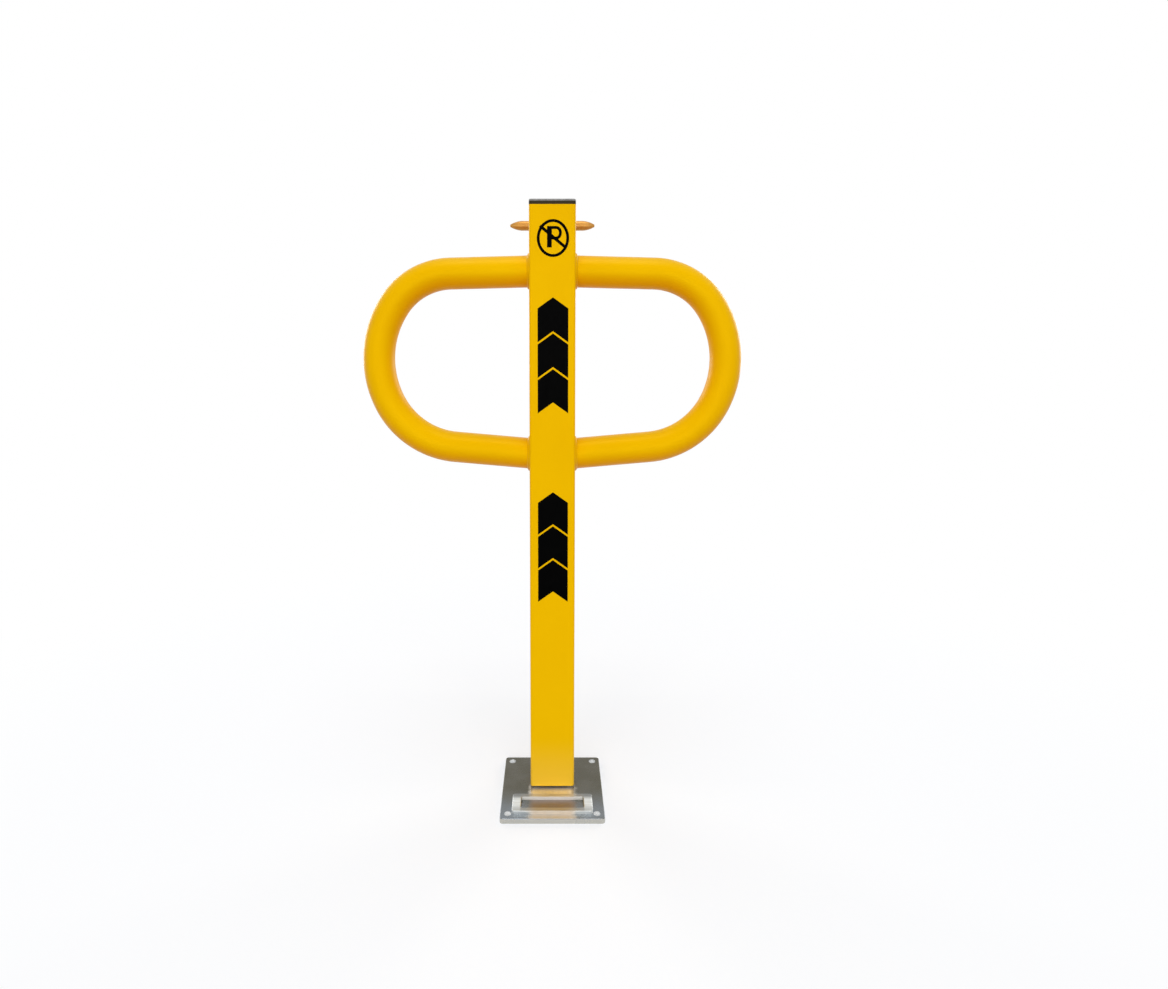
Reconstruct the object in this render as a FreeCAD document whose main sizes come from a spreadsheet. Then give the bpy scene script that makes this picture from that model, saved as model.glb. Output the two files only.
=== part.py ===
import FreeCAD, Part
import math
import os
import re
import Sketcher

# Lockable parking barrier: a square post with a bent tube hoop on each side, which folds
# forward about a pin in its foot and lies down on a low frame. A T-handle on the back of
# the post turns a crank, and the crank pushes a long rod down into a keeper on the base.
# Millimetres, +Z up, the front is towards -Y. The origin is the centre of the base plate's
# underside, which is also the centre of its four anchor holes.

doc = FreeCAD.newDocument("ParkingBarrier")
sheet = doc.addObject("Spreadsheet::Sheet", "Sizes")

SIZES = {
    # base plate and its anchor holes
    "plate_side": 160,
    "plate_thickness": 8,
    "plate_corner_radius": 5,
    "plate_edge_round": 1,
    "anchor_pitch": 136,
    "anchor_hole_radius": 5.5,
    # low frame that the lowered post lies on
    "frame_width": 124,
    "frame_depth": 42,
    "frame_height": 5,
    "frame_end_rim": 13.5,
    "frame_long_rim": 8.25,
    "frame_corner_radius": 3,
    "frame_edge_round": 0.8,
    "frame_margin": 11,
    # square post
    "post_side": 70,
    "post_wall": 2.5,
    "post_corner_radius": 4,
    "post_top": 917.5,
    "post_foot_gap": 3.9,
    "post_setback": 74,
    # hinge in the foot of the post
    "pivot_depth": 9.5,
    "landing_gap": 0.2,
    "hinge_pin_radius": 4,
    "lug_thickness": 8,
    "lug_spacing": 40,
    "lug_reach": 38,
    "lug_crown": 10,
    "lug_neck": 18,
    "lug_riser_gap": 0.7,
    "lug_corner_radius": 6,
    "swing_gap": 0.3,
    "sleeve_wall": 1.4,
    # hoops
    "tube_radius": 24.15,
    "tube_wall": 2.5,
    "hoop_top_height": 823.4,
    "hoop_bottom_height": 540.3,
    "hoop_top_slope": 1.5,
    "hoop_bottom_slope": 5,
    "hoop_leg": 127,
    "hoop_top_bend": 108,
    "hoop_top_turn": 54,
    "hoop_bottom_bend": 126,
    "hoop_bottom_turn": 59,
    "weld_leg": 4,
    # top cap
    "cap_height": 8,
    "cap_edge_round": 2,
    "cap_rib_depth": 12,
    "cap_rib_length": 14,
    "cap_rib_wall": 2.4,
    # lock rod, its guides and the keeper
    "rod_radius": 6,
    "rod_setback": 18,
    "rod_travel": 12,
    "rod_tip_chamfer": 1.5,
    "rod_tip_lift": 0.5,
    "keeper_radius": 12,
    "keeper_height": 12,
    "keeper_gap": 0.5,
    "keeper_chamfer": 1,
    "guide_width": 34,
    "guide_height": 10,
    "guide_front": 10,
    "upper_guide_height": 855,
    "upper_guide_thickness": 4,
    # yoke on the rod and the crank that drives it
    "yoke_thickness": 6,
    "yoke_margin": 4,
    "yoke_neck": 20,
    "yoke_corner_radius": 2.5,
    "collar_radius": 9,
    "collar_height": 12,
    "yoke_pin_radius": 1.5,
    "crank_disc_radius": 12,
    "crank_thickness": 4.8,
    "crank_pin_radius": 2.5,
    "slot_gap": 0.4,
    "crank_screw_radius": 2,
    # lock housing in the back wall of the post
    "handle_drop": 16.1,
    "flange_radius": 16,
    "flange_thickness": 2,
    "rim_height": 10,
    "housing_sleeve_radius": 9,
    "nut_flats": 24,
    "nut_thickness": 5,
    "washer_radius": 12,
    "washer_thickness": 1,
    # T-handle
    "shank_radius": 6,
    "boss_radius": 13,
    "boss_front": 30,
    "boss_round": 3,
    "arm_standoff": 21,
    "arm_length": 67.5,
    "arm_root_radius": 8.2,
    "arm_shoulder": 44,
    "arm_shoulder_radius": 7.5,
    "arm_tip_radius": 1.8,
    "arm_nose_radius": 40,
    # key plug in the handle and its cam
    "plug_radius": 5.5,
    "plug_offset": 4.5,
    "plug_proud": 0.6,
    "keyway_width": 1.4,
    "keyway_height": 7,
    "keyway_depth": 6,
    "cam_floor": 2.4,
    "cam_thickness": 2.6,
    "cam_width": 5,
    "cam_reach": 10.2,
    "cam_hub_radius": 4,
    "tang_side": 3.6,
    "cam_gap": 0.2,
    # clearances
    "running_gap": 0.05,
    "sliding_gap": 0.1,
    "face_gap": 0.3,
}

for row, (name, value) in enumerate(SIZES.items(), start=1):
    sheet.set(f"A{row}", name.replace("_", " "))
    sheet.set(f"B{row}", str(value))
    sheet.setAlias(f"B{row}", name)
doc.recompute()

# Places and sizes that follow from the driving ones
DERIVED = {
    "post_front": "post_setback - plate_side / 2",
    "post_middle": "post_front + post_side / 2",
    "post_back": "post_front + post_side",
    "post_inside": "post_side - 2 * post_wall",
    "post_foot_z": "plate_thickness + post_foot_gap",
    "post_top_z": "plate_thickness + post_top",
    "frame_middle": "frame_margin + frame_depth / 2 - plate_side / 2",
    "pivot_rise": "frame_height + landing_gap + pivot_depth",
    "pivot_y": "post_front + pivot_depth",
    "pivot_z": "plate_thickness + pivot_rise",
    "eye_radius": "pivot_depth - post_wall - swing_gap",
    "riser_front": "pivot_rise - post_foot_gap + lug_riser_gap",
    "side_sleeve": "post_inside / 2 - lug_spacing / 2 - lug_thickness - face_gap",
    "sleeve_radius": "hinge_pin_radius + sleeve_wall",
    "rod_y": "post_back - rod_setback",
    "guide_z": "plate_thickness + keeper_height",
    "rod_foot_z": "guide_z + rod_tip_lift",
    "handle_z": "post_top_z - handle_drop",
    "crank_offset": "rod_travel / 2",
    "slot_z": "handle_z + crank_offset",
    "rod_head_z": "slot_z - yoke_neck",
    "crank_reach": "crank_offset * sqrt(2)",
    "slot_middle": "(crank_reach + crank_offset) / 2",
    "slot_half_length": "(crank_reach - crank_offset) / 2 + crank_pin_radius + slot_gap",
    "slot_half_height": "crank_pin_radius + slot_gap",
    "crank_y": "rod_y + yoke_thickness / 2 + slot_gap",
    "shank_end": "crank_y - post_back",
    "sleeve_end": "shank_end + crank_thickness + face_gap",
    "rim_inside": "boss_radius + face_gap",
    "boss_back": "flange_thickness + washer_thickness + sliding_gap",
    "cam_back": "boss_back + cam_floor + cam_gap",
    "cam_front": "cam_back + cam_thickness",
    "cam_side": "cam_width / 2 + slot_gap",
    "cam_sweep": "sqrt(cam_reach * cam_reach + cam_width * cam_width / 4) + slot_gap",
    "hoop_start": "post_side / 2 - 2 * tube_wall",
    "hoop_rise": "hoop_top_height - hoop_bottom_height",
    "slopes": "hoop_top_slope + hoop_bottom_slope",
    "upper_heading": "hoop_top_slope + hoop_top_turn",
    "lower_heading": "180 - hoop_bottom_slope - hoop_bottom_turn",
    "outer_bend": "(hoop_rise * cos(hoop_bottom_slope) - hoop_leg * sin(slopes)"
                  " - hoop_top_bend * (cos(slopes) - cos(slopes + hoop_top_turn))"
                  " - hoop_bottom_bend * (1 - cos(hoop_bottom_turn)))"
                  " / (cos(hoop_bottom_turn) + cos(slopes + hoop_top_turn))",
    "bottom_leg": "hoop_leg * cos(slopes) + hoop_rise * sin(hoop_bottom_slope)"
                  " - hoop_top_bend * sin(slopes) + (hoop_top_bend - outer_bend) * sin(slopes + hoop_top_turn)"
                  " + (outer_bend - hoop_bottom_bend) * sin(hoop_bottom_turn)",
    "top_bend_x": "hoop_start + hoop_leg * cos(hoop_top_slope) - hoop_top_bend * sin(hoop_top_slope)",
    "top_bend_z": "hoop_top_height - hoop_leg * sin(hoop_top_slope) - hoop_top_bend * cos(hoop_top_slope)",
    "outer_bend_x": "top_bend_x + (hoop_top_bend - outer_bend) * sin(upper_heading)",
    "outer_bend_z": "top_bend_z + (hoop_top_bend - outer_bend) * cos(upper_heading)",
    "bottom_bend_x": "outer_bend_x + (outer_bend - hoop_bottom_bend) * sin(lower_heading)",
    "bottom_bend_z": "outer_bend_z + (outer_bend - hoop_bottom_bend) * cos(lower_heading)",
}


def formula(text):
    """Write a formula in the sheet's own terms, with each derived value put in full."""
    def swap(match):
        word = match[0]
        if word in DERIVED:
            return "(" + formula(DERIVED[word]) + ")"
        return "Sizes." + word if word in SIZES else word
    return re.sub(r"[a-z]\w*", swap, text)


def number(text):
    """Value of a formula at the sheet's present sizes."""
    return float(sheet.evalExpression(formula(text)))


def bind(thing, name, text):
    """Tie one property of an object to the sheet."""
    thing.setExpression(name, formula(text))


def place(thing, x="0", y="0", z="0"):
    for axis, text in zip("xyz", (x, y, z)):
        bind(thing, f"Placement.Base.{axis}", text)
    return thing


def new_body(label, x="0", y="0", z="0"):
    return place(doc.addObject("PartDesign::Body", label), x, y, z)


def origin_part(body, role):
    return next(item for item in body.Origin.OriginFeatures if item.Role == role)


def faces_back(sketch):
    """True on the XZ plane, whose normal points to -Y."""
    return sketch.AttachmentSupport[0][0].Role == "XZ_Plane"


def new_sketch(body, name, role, across="0", up="0", level="0"):
    """Sketch on an origin plane of the body, at a level along the third axis."""
    sketch = body.newObject("Sketcher::SketchObject", name)
    sketch.AttachmentSupport = (origin_part(body, role), [""])
    sketch.MapMode = "FlatFace"
    bind(sketch, "AttachmentOffset.Base.x", across)
    bind(sketch, "AttachmentOffset.Base.y", up)
    bind(sketch, "AttachmentOffset.Base.z", f"-({level})" if faces_back(sketch) else level)
    return sketch


def constrain(sketch, kind, *where, text, unit=""):
    """Add one constraint whose value follows a formula."""
    value = number(text)
    if unit:
        value = math.radians(value)
    index = sketch.addConstraint(Sketcher.Constraint(kind, *where, value))
    bind(sketch, f"Constraints[{index}]", f"({text}) * 1 {unit}" if unit else text)


def pin_down(sketch, item, end, across, up):
    """Fix a point of the sketch at a place measured from its origin."""
    constrain(sketch, "DistanceX", -1, 1, item, end, text=across)
    constrain(sketch, "DistanceY", -1, 1, item, end, text=up)


def outline(sketch, *corners):
    """Closed outline of straight lines through the corners."""
    first = sketch.GeometryCount
    count = len(corners)
    points = [FreeCAD.Vector(number(across), number(up)) for across, up in corners]
    for step in range(count):
        sketch.addGeometry(Part.LineSegment(points[step], points[(step + 1) % count]))
    for step in range(count):
        following = first + (step + 1) % count
        sketch.addConstraint(Sketcher.Constraint("Coincident", first + step, 2, following, 1))
    for step, (across, up) in enumerate(corners):
        pin_down(sketch, first + step, 1, across, up)


def rectangle(sketch, left, bottom, right, top):
    outline(sketch, (left, bottom), (right, bottom), (right, top), (left, top))


def square(sketch, side):
    rectangle(sketch, f"-({side}) / 2", f"-({side}) / 2", f"({side}) / 2", f"({side}) / 2")


def circle(sketch, radius, across="0", up="0"):
    centre = FreeCAD.Vector(number(across), number(up))
    item = sketch.addGeometry(Part.Circle(centre, FreeCAD.Vector(0, 0, 1), number(radius)))
    pin_down(sketch, item, 3, across, up)
    constrain(sketch, "Radius", item, text=radius)


def pad(body, sketch, length, towards=1):
    """Add the profile's thickness, towards the plus or the minus side of its level."""
    feature = body.newObject("PartDesign::Pad", sketch.Name + "Pad")
    feature.Profile = sketch
    bind(feature, "Length", length)
    feature.Reversed = (towards < 0) != faces_back(sketch)
    return feature


def pocket(body, sketch, length, towards=-1):
    """Cut the profile into the solid, towards the plus or the minus side of its level."""
    feature = body.newObject("PartDesign::Pocket", sketch.Name + "Pocket")
    feature.Profile = sketch
    bind(feature, "Length", length)
    feature.Reversed = (towards > 0) != faces_back(sketch)
    return feature


def revolve(body, sketch):
    """Turn the profile once about the sketch's own horizontal axis."""
    feature = body.newObject("PartDesign::Revolution", sketch.Name + "Turn")
    feature.Profile = sketch
    feature.ReferenceAxis = (sketch, ["H_Axis"])
    feature.Angle = 360
    return feature


def copy_round(body, feature, role, count, angle=360):
    """Repeat a feature evenly about one of the body's axes, over the angle."""
    pattern = body.newObject("PartDesign::PolarPattern", feature.Name + "Round")
    pattern.Originals = [feature]
    pattern.Axis = (origin_part(body, role), [""])
    pattern.Angle = angle
    pattern.Occurrences = count
    body.Tip = pattern


def ease(body, kind, size, wanted):
    """Fillet or Chamfer the edges of the body so far that a test picks."""
    doc.recompute()
    base = body.Tip
    names = [f"Edge{n}" for n, edge in enumerate(base.Shape.Edges, start=1) if wanted(edge)]
    feature = body.newObject("PartDesign::" + kind, body.Name + kind)
    feature.Base = (base, names)
    bind(feature, "Radius" if kind == "Fillet" else "Size", size)


def near(value, target):
    return abs(value - target) < 1e-4


def along(edge, axis):
    """True for a straight edge that runs along the x, y or z axis."""
    box = edge.BoundBox
    spans = {"x": box.XLength, "y": box.YLength, "z": box.ZLength}
    return near(spans[axis], edge.Length) and edge.Length > 1e-4


def level_edge(edge, axis, value):
    """True for an edge that lies flat at one value of an axis."""
    low = getattr(edge.BoundBox, axis.upper() + "Min")
    high = getattr(edge.BoundBox, axis.upper() + "Max")
    return near(low, value) and near(high, value)


def upright_corner(half):
    """Test for upright edges at the corners of a centred rectangle of that half width."""
    def wanted(edge):
        return along(edge, "z") and near(abs(edge.CenterOfMass.x), half)
    return wanted


ALONG = {
    "x": FreeCAD.Rotation(FreeCAD.Vector(0, 1, 0), 90),
    "y": FreeCAD.Rotation(FreeCAD.Vector(1, 0, 0), -90),
    "z": FreeCAD.Rotation(),
}


def cylinder(label, radius, length, axis, x="0", y="0", z="0"):
    """Round bar that starts at the place given and runs along the plus side of an axis."""
    bar = doc.addObject("Part::Cylinder", label)
    bind(bar, "Radius", radius)
    bind(bar, "Height", length)
    bar.Placement = FreeCAD.Placement(FreeCAD.Vector(), ALONG[axis])
    return place(bar, x, y, z)


def cut(label, base, tool):
    result = doc.addObject("Part::Cut", label)
    result.Base = base
    result.Tool = tool
    return result


def ring(label, radius, bore, length, axis, x="0", y="0", z="0"):
    """Round sleeve or washer."""
    outside = cylinder(label + "_outside", radius, length, axis, x, y, z)
    inside = cylinder(label + "_bore", bore, length, axis, x, y, z)
    return cut(label, outside, inside)


def mirrored(label, source):
    """The same piece on the other side of the middle plane."""
    twin = doc.addObject("Part::Mirroring", label)
    twin.Source = source
    twin.Normal = FreeCAD.Vector(1, 0, 0)
    return twin


# Base plate: flat galvanised plate with a hole for an anchor in each corner
base_plate = new_body("base_plate")
plate_outline = new_sketch(base_plate, "plate_outline", "XY_Plane")
square(plate_outline, "plate_side")
pad(base_plate, plate_outline, "plate_thickness")
ease(base_plate, "Fillet", "plate_corner_radius", lambda edge: along(edge, "z"))
plate_top = number("plate_thickness")
ease(base_plate, "Fillet", "plate_edge_round", lambda edge: level_edge(edge, "z", plate_top))
anchor_hole = new_sketch(base_plate, "anchor_hole", "XY_Plane", level="plate_thickness")
circle(anchor_hole, "anchor_hole_radius", "anchor_pitch / 2", "anchor_pitch / 2")
copy_round(base_plate, pocket(base_plate, anchor_hole, "plate_thickness"), "Z_Axis", 4)

# Landing frame: low frame of flat bar in front of the post, which the lowered post lies on
landing_frame = new_body("landing_frame", y="frame_middle", z="plate_thickness")
frame_outline = new_sketch(landing_frame, "frame_outline", "XY_Plane")
rectangle(frame_outline, "-frame_width / 2", "-frame_depth / 2", "frame_width / 2", "frame_depth / 2")
rectangle(frame_outline, "frame_end_rim - frame_width / 2", "frame_long_rim - frame_depth / 2",
          "frame_width / 2 - frame_end_rim", "frame_depth / 2 - frame_long_rim")
pad(landing_frame, frame_outline, "frame_height")
ease(landing_frame, "Fillet", "frame_corner_radius", lambda edge: along(edge, "z"))
frame_top = number("frame_height")
ease(landing_frame, "Fillet", "frame_edge_round", lambda edge: level_edge(edge, "z", frame_top))

# Hinge lugs: two flame-cut brackets on the plate, inside the foot of the post. The neck
# carries the eye forward over the post's front wall, which swings in under it.
hinge_lug_right = new_body("hinge_lug_right", "lug_spacing / 2", "pivot_y", "pivot_z")
lug_outline = new_sketch(hinge_lug_right, "lug_outline", "YZ_Plane")
outline(lug_outline, ("riser_front", "-pivot_rise"), ("riser_front", "-eye_radius"), ("0", "-eye_radius"),
        ("0", "eye_radius"), ("lug_neck", "lug_crown"), ("lug_reach", "lug_crown"),
        ("lug_reach", "-pivot_rise"))
pad(hinge_lug_right, lug_outline, "lug_thickness")
lug_back = number("lug_reach")
lug_crown = number("lug_crown")
ease(hinge_lug_right, "Fillet", "lug_corner_radius",
     lambda edge: along(edge, "x") and near(edge.CenterOfMass.y, lug_back) and near(edge.CenterOfMass.z, lug_crown))
lug_eye = new_sketch(hinge_lug_right, "lug_eye", "YZ_Plane")
circle(lug_eye, "eye_radius")
pad(hinge_lug_right, lug_eye, "lug_thickness")
lug_bore = new_sketch(hinge_lug_right, "lug_bore", "YZ_Plane", level="lug_thickness")
circle(lug_bore, "hinge_pin_radius + running_gap")
pocket(hinge_lug_right, lug_bore, "lug_thickness")
hinge_lug_left = mirrored("hinge_lug_left", hinge_lug_right)

# Keeper: bush on the plate that the lock rod drops into. The post's lower guide stands on it.
keeper_bush = new_body("keeper_bush", y="rod_y", z="plate_thickness")
keeper_outline = new_sketch(keeper_bush, "keeper_outline", "XY_Plane")
circle(keeper_outline, "keeper_radius")
circle(keeper_outline, "rod_radius + keeper_gap")
pad(keeper_bush, keeper_outline, "keeper_height")
keeper_top = number("keeper_height")
ease(keeper_bush, "Chamfer", "keeper_chamfer", lambda edge: level_edge(edge, "z", keeper_top))

# Post: square steel tube, with a hole for the hinge pin near its foot and one for the lock
# housing near the top of its back wall
post_tube = new_body("post_tube", y="post_middle", z="post_foot_z")
post_section = new_sketch(post_tube, "post_section", "XY_Plane")
square(post_section, "post_side")
square(post_section, "post_inside")
pad(post_tube, post_section, "post_top_z - post_foot_z")
ease(post_tube, "Fillet", "post_corner_radius", upright_corner(number("post_side / 2")))
ease(post_tube, "Fillet", "post_corner_radius - post_wall", upright_corner(number("post_inside / 2")))
pin_hole = new_sketch(post_tube, "pin_hole", "YZ_Plane", level="post_side / 2")
circle(pin_hole, "hinge_pin_radius + running_gap", "pivot_y - post_middle", "pivot_z - post_foot_z")
pocket(post_tube, pin_hole, "post_side")
housing_hole = new_sketch(post_tube, "housing_hole", "XZ_Plane", level="post_side / 2")
circle(housing_hole, "housing_sleeve_radius + running_gap", "0", "handle_z - post_foot_z")
pocket(post_tube, housing_hole, "post_wall")


# Hoops: one round tube on each side of the post, bent three times and welded on at both
# ends. The legs slope a little apart towards the post, and the outer bend has the radius that
# joins the two corner bends. Each leg is a bar, each bend is part of a ring, and a thinner
# run of the same shape is the bore.
def hoop_place(x, z, turned):
    """Placement beside the post, at a height above the plate."""
    return f"placement(vector({x}; post_middle; plate_thickness + {z}); {turned})"


def hoop_leg(label, radius, length, height, angle):
    """Straight end of the hoop, which leaves the post at an angle from upright."""
    leg = doc.addObject("Part::Cylinder", label)
    bind(leg, "Radius", radius)
    bind(leg, "Height", length)
    bind(leg, "Placement", hoop_place("hoop_start", height, f"rotation(vector(0; 1; 0); {angle})"))
    return leg


def hoop_bend(label, radius, name, start, turn):
    """Bend of the hoop, from a start angle and down to the right."""
    bend = doc.addObject("Part::Torus", label)
    bind(bend, "Radius1", name if name in DERIVED else "hoop_" + name)
    bind(bend, "Radius2", radius)
    bind(bend, "Angle3", f"({turn}) * 1 deg")
    upright = f"rotation(vector(0; 1; 0); {start} - 90) * rotation(vector(1; 0; 0); -90)"
    bind(bend, "Placement", hoop_place(name + "_x", name + "_z", upright))
    return bend


def hoop_run(label, radius):
    """The hoop's whole run, as one bar of a radius."""
    run = doc.addObject("Part::MultiFuse", label)
    run.Shapes = [
        hoop_leg(label + "_top_leg", radius, "hoop_leg", "hoop_top_height", "90 + hoop_top_slope"),
        hoop_bend(label + "_top_bend", radius, "top_bend", "hoop_top_slope", "hoop_top_turn"),
        hoop_bend(label + "_outer_bend", radius, "outer_bend", "upper_heading", "lower_heading - upper_heading"),
        hoop_bend(label + "_bottom_bend", radius, "bottom_bend", "lower_heading", "hoop_bottom_turn"),
        hoop_leg(label + "_bottom_leg", radius, "bottom_leg", "hoop_bottom_height", "90 - hoop_bottom_slope"),
    ]
    return run


def hoop_weld(label, height):
    """Cone of weld round the tube, against the post."""
    weld = doc.addObject("Part::Cone", label)
    bind(weld, "Radius1", "tube_radius + weld_leg")
    bind(weld, "Radius2", "tube_radius - tube_wall / 2")
    bind(weld, "Height", "weld_leg + tube_wall / 2")
    bind(weld, "Placement", hoop_place("post_side / 2", height, "rotation(vector(0; 1; 0); 90)"))
    return weld


hoop_outside = doc.addObject("Part::MultiFuse", "hoop_outside")
hoop_outside.Shapes = [
    hoop_run("hoop_skin", "tube_radius"),
    hoop_weld("top_weld", "hoop_top_height"),
    hoop_weld("bottom_weld", "hoop_bottom_height"),
]
post_side_room = doc.addObject("Part::Box", "post_side_room")
bind(post_side_room, "Length", "post_side / 2")
bind(post_side_room, "Width", "4 * tube_radius")
bind(post_side_room, "Height", "hoop_rise + 4 * tube_radius")
place(post_side_room, "0", "post_middle - 2 * tube_radius", "plate_thickness + hoop_bottom_height - 2 * tube_radius")
hoop_inside = doc.addObject("Part::MultiFuse", "hoop_inside")
hoop_inside.Shapes = [hoop_run("hoop_bore", "tube_radius - tube_wall"), post_side_room]
hoop_right = cut("hoop_right", hoop_outside, hoop_inside)
hoop_left = mirrored("hoop_left", hoop_right)

# Top cap: moulded plastic plug, with a rib that grips the tube in each corner
top_cap = new_body("top_cap", y="post_middle", z="post_top_z")
cap_outline = new_sketch(top_cap, "cap_outline", "XY_Plane")
square(cap_outline, "post_side")
pad(top_cap, cap_outline, "cap_height")
ease(top_cap, "Fillet", "post_corner_radius", lambda edge: along(edge, "z"))
cap_top = number("cap_height")
ease(top_cap, "Fillet", "cap_edge_round", lambda edge: level_edge(edge, "z", cap_top))
cap_rib = new_sketch(top_cap, "cap_rib", "XY_Plane")
RIB_OUT = "post_inside / 2 - sliding_gap"
RIB_IN = f"{RIB_OUT} - cap_rib_wall"
RIB_END = f"{RIB_OUT} - cap_rib_length"
RIB_CORNER = f"{RIB_OUT} - post_corner_radius / 2"
outline(cap_rib, (RIB_END, RIB_OUT), (RIB_CORNER, RIB_OUT), (RIB_OUT, RIB_CORNER), (RIB_OUT, RIB_END),
        (RIB_IN, RIB_END), (RIB_IN, RIB_IN), (RIB_END, RIB_IN))
copy_round(top_cap, pad(top_cap, cap_rib, "cap_rib_depth", towards=-1), "Z_Axis", 4)

# Hinge pin through both walls of the post, with a sleeve that keeps each side in place
hinge_pin = cylinder("hinge_pin", "hinge_pin_radius", "post_side", "x", "-post_side / 2", "pivot_y", "pivot_z")
ring("hinge_sleeve_middle", "sleeve_radius", "hinge_pin_radius + running_gap", "lug_spacing - 2 * face_gap",
     "x", "face_gap - lug_spacing / 2", "pivot_y", "pivot_z")
ring("hinge_sleeve_right", "sleeve_radius", "hinge_pin_radius + running_gap", "side_sleeve",
     "x", "post_inside / 2 - side_sleeve", "pivot_y", "pivot_z")
ring("hinge_sleeve_left", "sleeve_radius", "hinge_pin_radius + running_gap", "side_sleeve",
     "x", "-post_inside / 2", "pivot_y", "pivot_z")

# Rod guides: a block on the back wall, which stands on the keeper, and a plate across the tube
rod_guide_lower = new_body("rod_guide_lower", y="rod_y", z="guide_z")
lower_outline = new_sketch(rod_guide_lower, "lower_outline", "XY_Plane")
rectangle(lower_outline, "-guide_width / 2", "-guide_front", "guide_width / 2", "rod_setback - post_wall")
circle(lower_outline, "rod_radius + sliding_gap")
pad(rod_guide_lower, lower_outline, "guide_height")
rod_guide_upper = new_body("rod_guide_upper", y="post_middle", z="plate_thickness + upper_guide_height")
upper_outline = new_sketch(rod_guide_upper, "upper_outline", "XY_Plane")
square(upper_outline, "post_inside")
circle(upper_outline, "rod_radius + sliding_gap", "0", "rod_y - post_middle")
pad(rod_guide_upper, upper_outline, "upper_guide_thickness")
ease(rod_guide_upper, "Fillet", "post_corner_radius", upright_corner(number("post_inside / 2")))

# Lock rod: long round bar, with a lead on its tip and a cross hole for the yoke's pin
lock_rod = new_body("lock_rod", y="rod_y", z="rod_foot_z")
rod_section = new_sketch(lock_rod, "rod_section", "XY_Plane")
circle(rod_section, "rod_radius")
pad(lock_rod, rod_section, "rod_head_z - rod_foot_z")
ease(lock_rod, "Chamfer", "rod_tip_chamfer", lambda edge: level_edge(edge, "z", 0))
rod_cross_hole = new_sketch(lock_rod, "rod_cross_hole", "YZ_Plane", up="rod_head_z - rod_foot_z",
                            level="rod_radius")
circle(rod_cross_hole, "yoke_pin_radius + running_gap", "0", "-collar_height / 2")
pocket(lock_rod, rod_cross_hole, "2 * rod_radius")

# Yoke: flat plate with a level slot for the crank pin, on a collar pinned to the rod
rod_yoke = new_body("rod_yoke", y="rod_y", z="slot_z")
yoke_outline = new_sketch(rod_yoke, "yoke_outline", "XZ_Plane", level="-yoke_thickness / 2")
rectangle(yoke_outline, "-collar_radius", "-yoke_neck", "slot_middle + slot_half_length + yoke_margin",
          "slot_half_height + yoke_margin")
pad(rod_yoke, yoke_outline, "yoke_thickness")
ease(rod_yoke, "Fillet", "yoke_corner_radius", lambda edge: along(edge, "y"))
yoke_slot = new_sketch(rod_yoke, "yoke_slot", "XZ_Plane", across="slot_middle", level="-yoke_thickness / 2")
rectangle(yoke_slot, "-slot_half_length", "-slot_half_height", "slot_half_length", "slot_half_height")
pocket(rod_yoke, yoke_slot, "yoke_thickness", towards=1)
yoke_collar = new_sketch(rod_yoke, "yoke_collar", "XY_Plane", level="-yoke_neck")
circle(yoke_collar, "collar_radius")
pad(rod_yoke, yoke_collar, "collar_height", towards=-1)
collar_bore = new_sketch(rod_yoke, "collar_bore", "XY_Plane", level="-yoke_neck")
circle(collar_bore, "rod_radius + running_gap")
pocket(rod_yoke, collar_bore, "collar_height")
collar_cross_hole = new_sketch(rod_yoke, "collar_cross_hole", "YZ_Plane", up="-yoke_neck", level="collar_radius")
circle(collar_cross_hole, "yoke_pin_radius + running_gap", "0", "-collar_height / 2")
pocket(rod_yoke, collar_cross_hole, "2 * collar_radius")
yoke_pin = cylinder("yoke_pin", "yoke_pin_radius", "2 * collar_radius", "x", "-collar_radius", "rod_y",
                    "rod_head_z - collar_height / 2")

# Crank: disc on the handle's shank, whose pin stands in the yoke's slot
crank = new_body("crank", y="crank_y", z="handle_z")
crank_disc = new_sketch(crank, "crank_disc", "XZ_Plane")
circle(crank_disc, "crank_disc_radius")
circle(crank_disc, "shank_radius + running_gap")
pad(crank, crank_disc, "crank_thickness")
crank_pin = new_sketch(crank, "crank_pin", "XZ_Plane")
circle(crank_pin, "crank_pin_radius", "crank_offset", "crank_offset")
pad(crank, crank_pin, "yoke_thickness + 2 * slot_gap", towards=-1)
screw_hole = new_sketch(crank, "screw_hole", "XY_Plane", level="-crank_disc_radius")
circle(screw_hole, "crank_screw_radius + running_gap", "0", "crank_thickness / 2")
pocket(crank, screw_hole, "crank_disc_radius - shank_radius / 2", towards=1)
cylinder("crank_screw", "crank_screw_radius", "crank_disc_radius - shank_radius - running_gap", "z",
         "0", "crank_y + crank_thickness / 2", "handle_z - crank_disc_radius")


def bend_arc(middle, start, end):
    """Arc of a profile, which runs the other way round from start to end."""
    radius = (start - middle).Length
    angles = [math.atan2(point.y - middle.y, point.x - middle.x) for point in (end, start)]
    whole = Part.Circle(middle, FreeCAD.Vector(0, 0, 1), radius)
    return Part.ArcOfCircle(whole, *angles)


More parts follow.
